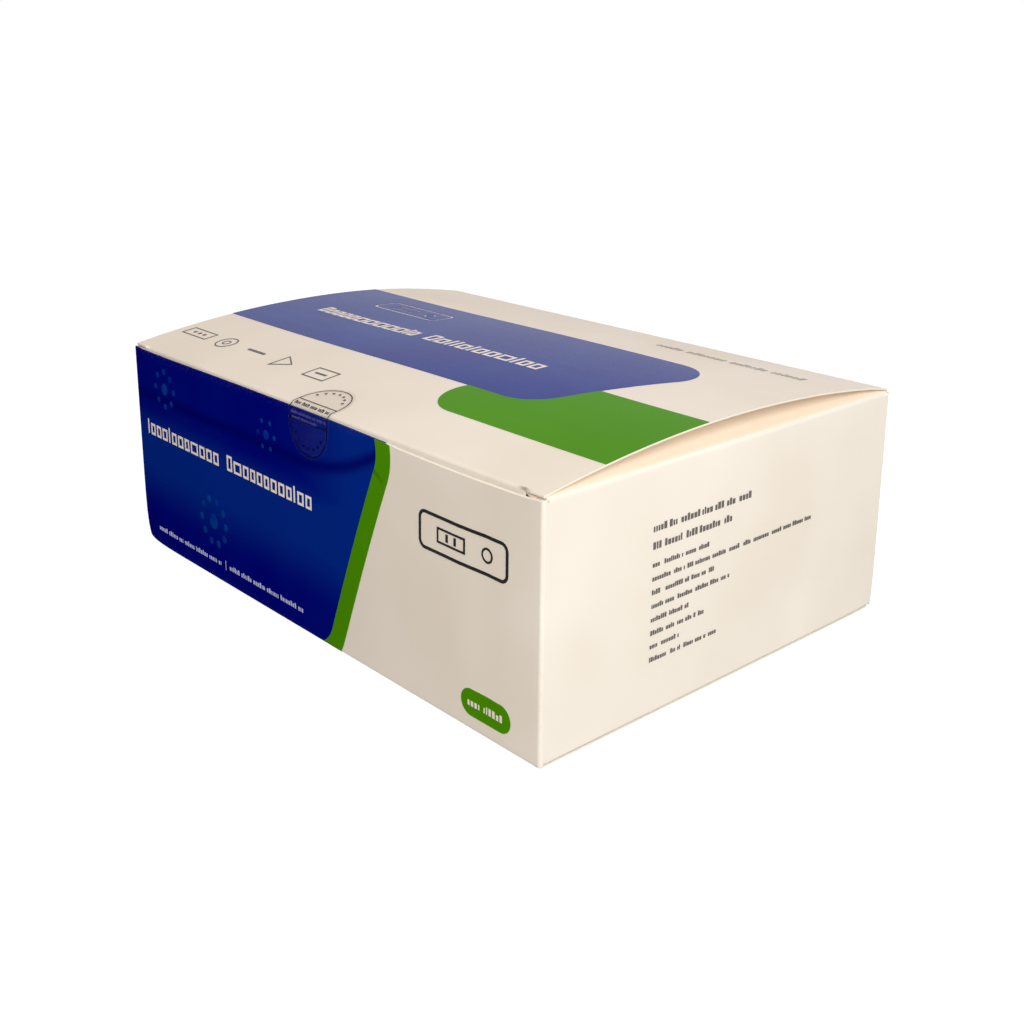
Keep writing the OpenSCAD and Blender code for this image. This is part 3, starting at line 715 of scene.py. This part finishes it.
def dressed_field(node, name, materials, form, onto, slim, grow=1, x_height=1, tall=1):
    """A field of ink, whose slim bars, at least this many times as long as tall, become rows of blocks in
    the last material. Large print has the second material, and grows about its middle."""
    bm = copy_of([node])
    dice = random.Random(name)
    through, up = (2, 1) if onto is on_lid else (1, 2)
    bars = [(low, high) for low, high in bars_in(node, through)
            if high[up] - low[up] < BAR_HEIGHT and high.x - low.x > slim * (high[up] - low[up])]
    large = [bar for bar in bars if bar[1][up] - bar[0][up] > LARGE_PRINT]
    middle = sum(low.x + high.x for low, high in large) / (2 * len(large)) if large else 0
    out = Vector((0, 0, INK))
    for bar in bars:
        low, high = (Vector((corner.x, corner[up])) for corner in bar)
        add_block(bm, low.to_3d(), high.to_3d() + FILL_OUT * out, onto)
        if bar in large:
            low.x, high.x = (middle + (x - middle) * grow for x in (low.x, high.x))
            high.y = low.y + (high.y - low.y) * x_height
            blocks = large_print(low, high, tall, dice)
        else:
            blocks = small_print(low, high, dice)
        material = 1 if bar in large else len(materials) - 1
        for start, end in blocks:
            add_block(bm, start.to_3d() + LETTER_ROOT * out, end.to_3d() + LETTER_OUT[onto] * out, onto,
                      material)
    dressed(bm, [node], name, materials, form)


class CARTON_OT_board(Operator):
    """Dress the folded board with its coating, its cut edges and the give of a full carton"""

    bl_idname = "carton.dress_board"
    bl_label = "Dress Board"

    def execute(self, context):
        colours = context.scene.carton_colours
        coated = bare_coating("coated_boxboard", colours, wear_limit=0.3)
        raw = cut_board("cut_board_edge", colours.raw_edge)
        inked = cut_board("inked_board_edge", [c * EDGE_PRINT for c in colours.front_blue_light])
        # The flaps' material paints the lid's shade onto them, darker and warmer than the coating
        flap = board_surface("flap_painted_shade", colours.flap, colours.flap, colours.flap, 0.7, PULP_IOR,
                             specular=0.2)
        board = copy_of(["carton"])
        mark_board(board)
        dressed(board, ["carton"], "carton_board", [coated, raw, inked, flap],
                context.scene.carton_form)
        return {"FINISHED"}


class CARTON_OT_front_print(Operator):
    """Dress the front wall's printed fields, dots, emblem and badge"""

    bl_idname = "carton.dress_front_print"
    bl_label = "Dress Front Print"

    def execute(self, context):
        colours = context.scene.carton_colours
        form = context.scene.carton_form
        # The front's blue has a painted reflection: a dark curved band and lighter stretches round it
        blue = board_surface("front_blue_print", colours.front_blue, colours.front_blue_light,
                             colours.board, 0.3, cloud_mm=34, specular=0, painted_reflection=True)
        green = green_ink("front_green_print", colours, specular=0)
        light = board_surface("light_blue_print", colours.light_blue, colours.front_blue_light,
                              colours.front_blue, 0.3, cloud_mm=6, specular=0)
        black = board_surface("black_print", colours.black, colours.black, colours.board, 0.35,
                              specular=0.1)
        white = bare_coating("front_white_print", colours)
        fine = board_surface("front_fine_print", colours.fine_print, colours.fine_print, colours.worn,
                             COATING_ROUGHNESS, COATING_IOR, specular=0.1)
        dressed_field("front_blue_field", "front_blue_print", [blue, white, fine], form,
                      on_front, slim=8, x_height=1.13, tall=1.25)
        dressed_node("front_green_band", "front_green_print", green, form)
        dressed_node("front_dots", "front_dot_print", light, form)
        dressed_node("front_emblem", "front_emblem_print", black, form)
        dressed_field("front_badge", "front_badge_print", [green, white], form, on_front,
                      slim=2)
        return {"FINISHED"}


class CARTON_OT_lid_print(Operator):
    """Dress the lid's printed fields and the row of plain symbols"""

    bl_idname = "carton.dress_lid_print"
    bl_label = "Dress Lid Print"

    def execute(self, context):
        colours = context.scene.carton_colours
        form = context.scene.carton_form
        blue = board_surface("lid_blue_print", colours.lid_blue, colours.lid_blue_light,
                             colours.board, 0.3, specular=0.12)
        green = green_ink("lid_green_print", colours, specular=0.03)
        dark = board_surface("lid_dark_print", colours.dark, colours.dark, colours.board, 0.35)
        white = bare_coating("lid_white_print", colours)
        dressed_field("lid_blue_field", "lid_blue_print", [blue, white], form, on_lid,
                      slim=8, grow=1.14, x_height=1.39, tall=1.25)
        dressed_node("lid_green_field", "lid_green_print", green, form)
        marks = copy_of(["lid_marks"])
        # The plain line at the back makes way for a row of blocks
        back = [vert for vert in marks.verts if vert.co.y > 0]
        bmesh.ops.delete(marks, geom=back, context="VERTS")
        for start, end in small_print(*BACK_PRINT, random.Random("back")):
            add_block(marks, start.to_3d(), end.to_3d() + Vector((0, 0, INK)), on_lid, material=1)
        faint = board_surface("lid_faint_print", colours.faint, colours.faint, colours.board, 0.35)
        dressed(marks, ["lid_marks"], "lid_symbol_print", [dark, faint], form)
        return {"FINISHED"}


class CARTON_OT_end_print(Operator):
    """Dress the end wall's lines of print"""

    bl_idname = "carton.dress_end_print"
    bl_label = "Dress End Print"

    def execute(self, context):
        colours = context.scene.carton_colours
        grey = board_surface("end_grey_print", colours.text, colours.text, colours.board, 0.4)
        dice = random.Random("end_line_print")
        bm = bmesh.new()
        for low, high in bars_in("end_lines"):
            for start, end in small_print(low.yz, high.yz, dice):
                add_block(bm, start.to_3d(), end.to_3d() + Vector((0, 0, INK)), on_end)
        dressed(bm, ["end_lines"], "end_line_print", [grey], context.scene.carton_form)
        return {"FINISHED"}


class CARTON_OT_seal(Operator):
    """Dress the clear seal and its printed lines"""

    bl_idname = "carton.dress_seal"
    bl_label = "Dress Seal"

    def execute(self, context):
        colours = context.scene.carton_colours
        form = context.scene.carton_form
        film = clear_film("clear_seal_film", colours.film, alpha=0.03, roughness=0.12, specular=0.14)
        dark = clear_film("seal_dark_print", colours.seal_ink, alpha=0.5, roughness=0.4, specular=0)
        pale = clear_film("seal_pale_print", colours.seal_pale, alpha=0.6, roughness=0.4, specular=0)
        dressed_node("clear_seal", "seal_film", film, form)
        marks = copy_of(["seal_print"])
        dice = random.Random("seal")
        out = Vector((0, 0, SEAL_OUT))
        for (left, right), (low, high), onto, material in SEAL_ROWS:
            corners = [Vector((SEAL_X / MM + along, across)) * MM
                       for along, across in ((left, low), (right, high))]
            for start, end in small_print(*corners, dice):
                add_block(marks, start.to_3d() + SEAL_ROOT * out, end.to_3d() + out, onto, material)
        dressed(marks, ["seal_print"], "seal_line_print", [dark, pale], form)
        return {"FINISHED"}


def seen_directly(tree):
    """1 for rays from the camera, and for what gloss and clear film show; 0 for light on the object."""
    path = add_node(tree, "ShaderNodeLightPath")
    either = add_node(tree, "ShaderNodeMath",
                      {0: path.outputs["Is Camera Ray"], 1: path.outputs["Is Glossy Ray"]},
                      operation="MAXIMUM")
    return add_node(tree, "ShaderNodeMath",
                    {0: either.outputs["Value"], 1: path.outputs["Is Transmission Ray"]},
                    operation="MAXIMUM").outputs["Value"]


def make_world(stage):
    """A warm, even light all round, with a white background behind the object."""
    world = bpy.data.worlds.new("studio")
    world.use_nodes = True
    tree = world.node_tree
    tree.nodes.clear()
    fill = add_node(tree, "ShaderNodeBackground",
                    {"Color": rgba(stage.fill_colour), "Strength": stage.fill_strength})
    white = add_node(tree, "ShaderNodeBackground", {"Color": (1, 1, 1, 1), "Strength": 1})
    both = add_node(tree, "ShaderNodeMixShader",
                    {0: seen_directly(tree), 1: fill.outputs["Background"], 2: white.outputs["Background"]})
    add_node(tree, "ShaderNodeOutputWorld", {"Surface": both.outputs["Shader"]})
    bpy.context.scene.world = world


# What the floor shows by itself: just enough to be white under the warm soft light, away from shadows
FLOOR_GLOW = (0.85, 0.89, 0.92)
FLOOR_REACH = 8
FLOOR_GAP = 0.02 * MM
# The softbox on the right: where it stands, what it looks at, and its width
KEY_PLACE = (0.67, -0.36, 0.48)
KEY_AIM = (0, 0, 0.04)
KEY_WIDTH = 0.6
# How far the picture's centre lies from the camera's axis, in shares of the picture's width
CAMERA_SHIFT = (0.0097, -0.1222)


def make_floor(stage):
    """A pale floor that keeps the carton's shadow and otherwise shows white."""
    bm = bmesh.new()
    bmesh.ops.create_grid(bm, x_segments=1, y_segments=1, size=FLOOR_REACH)
    bmesh.ops.translate(bm, verts=bm.verts, vec=(0, 0, -FLOOR_GAP))
    mesh = bpy.data.meshes.new("floor")
    bm.to_mesh(mesh)
    bm.free()
    floor = bpy.data.objects.new("floor", mesh)
    bpy.context.scene.collection.objects.link(floor)
    material, tree = new_material("pale_floor")
    matt = add_node(tree, "ShaderNodeBsdfDiffuse", {"Color": rgba(stage.floor)})
    glow = add_node(tree, "ShaderNodeEmission", {"Color": rgba(FLOOR_GLOW), "Strength": seen_directly(tree)})
    both = add_node(tree, "ShaderNodeAddShader", {0: matt.outputs["BSDF"], 1: glow.outputs["Emission"]})
    add_node(tree, "ShaderNodeOutputMaterial", {"Surface": both.outputs["Shader"]})
    mesh.materials.append(material)


def add_softbox(name, place, aim, width, power, colour):
    """A square area lamp that looks at a point."""
    lamp = bpy.data.lights.new(name, "AREA")
    lamp.shape = "SQUARE"
    lamp.size = width
    lamp.energy = power
    lamp.color = colour
    softbox = bpy.data.objects.new(name, lamp)
    softbox.location = place
    softbox.rotation_euler = (Vector(aim) - Vector(place)).to_track_quat("-Z", "Y").to_euler()
    bpy.context.scene.collection.objects.link(softbox)


def add_camera(stage):
    """The camera stands where the photograph was taken from; the frame's centre lies below its axis."""
    data = bpy.data.cameras.new("camera")
    data.sensor_width = 36
    data.lens = stage.lens
    data.shift_x, data.shift_y = CAMERA_SHIFT
    data.clip_start = 0.01
    data.clip_end = 50
    azimuth, elevation, roll = stage.camera_turn
    turn = Euler((math.pi / 2 - elevation, 0, azimuth)).to_matrix() @ Matrix.Rotation(roll, 3, "Z")
    camera = bpy.data.objects.new("camera", data)
    camera.location = stage.camera_place
    camera.rotation_euler = turn.to_euler()
    bpy.context.scene.collection.objects.link(camera)
    bpy.context.scene.camera = camera


class CARTON_OT_stage(Operator):
    """Set up the floor, the lamps, the white background and the camera"""

    bl_idname = "carton.set_stage"
    bl_label = "Set Stage"

    def execute(self, context):
        stage = context.scene.carton_stage
        context.scene.view_settings.view_transform = "Standard"
        make_world(stage)
        make_floor(stage)
        add_softbox("key_softbox", KEY_PLACE, KEY_AIM, KEY_WIDTH, stage.key_power, stage.key_colour)
        add_camera(stage)
        return {"FINISHED"}


class CARTON_PT_panel(Panel):
    """Lists the carton's settings and the steps that dress it"""

    bl_label = "Test Kit Carton"
    bl_space_type = "VIEW_3D"
    bl_region_type = "UI"
    bl_category = "Carton"

    def draw(self, context):
        layout = self.layout
        for group in (context.scene.carton_form, context.scene.carton_colours, context.scene.carton_stage):
            box = layout.box()
            for name in group.__annotations__:
                box.prop(group, name)
        for step in STEPS:
            layout.operator(step.bl_idname)


GROUPS = {"carton_form": CartonForm, "carton_colours": CartonColours, "carton_stage": StageSettings}
STEPS = (CARTON_OT_stage, CARTON_OT_board, CARTON_OT_front_print, CARTON_OT_lid_print, CARTON_OT_end_print,
         CARTON_OT_seal)


def register():
    for cls in (*GROUPS.values(), *STEPS, CARTON_PT_panel):
        bpy.utils.register_class(cls)
    for name, group in GROUPS.items():
        setattr(bpy.types.Scene, name, PointerProperty(type=group))


def unregister():
    for name in GROUPS:
        delattr(bpy.types.Scene, name)
    for cls in reversed((*GROUPS.values(), *STEPS, CARTON_PT_panel)):
        bpy.utils.unregister_class(cls)


def main():
    register()
    bpy.ops.carton.set_stage()
    bpy.ops.carton.dress_board()
    bpy.ops.carton.dress_front_print()
    bpy.ops.carton.dress_lid_print()
    bpy.ops.carton.dress_end_print()
    bpy.ops.carton.dress_seal()


if __name__ == "__main__":
    main()
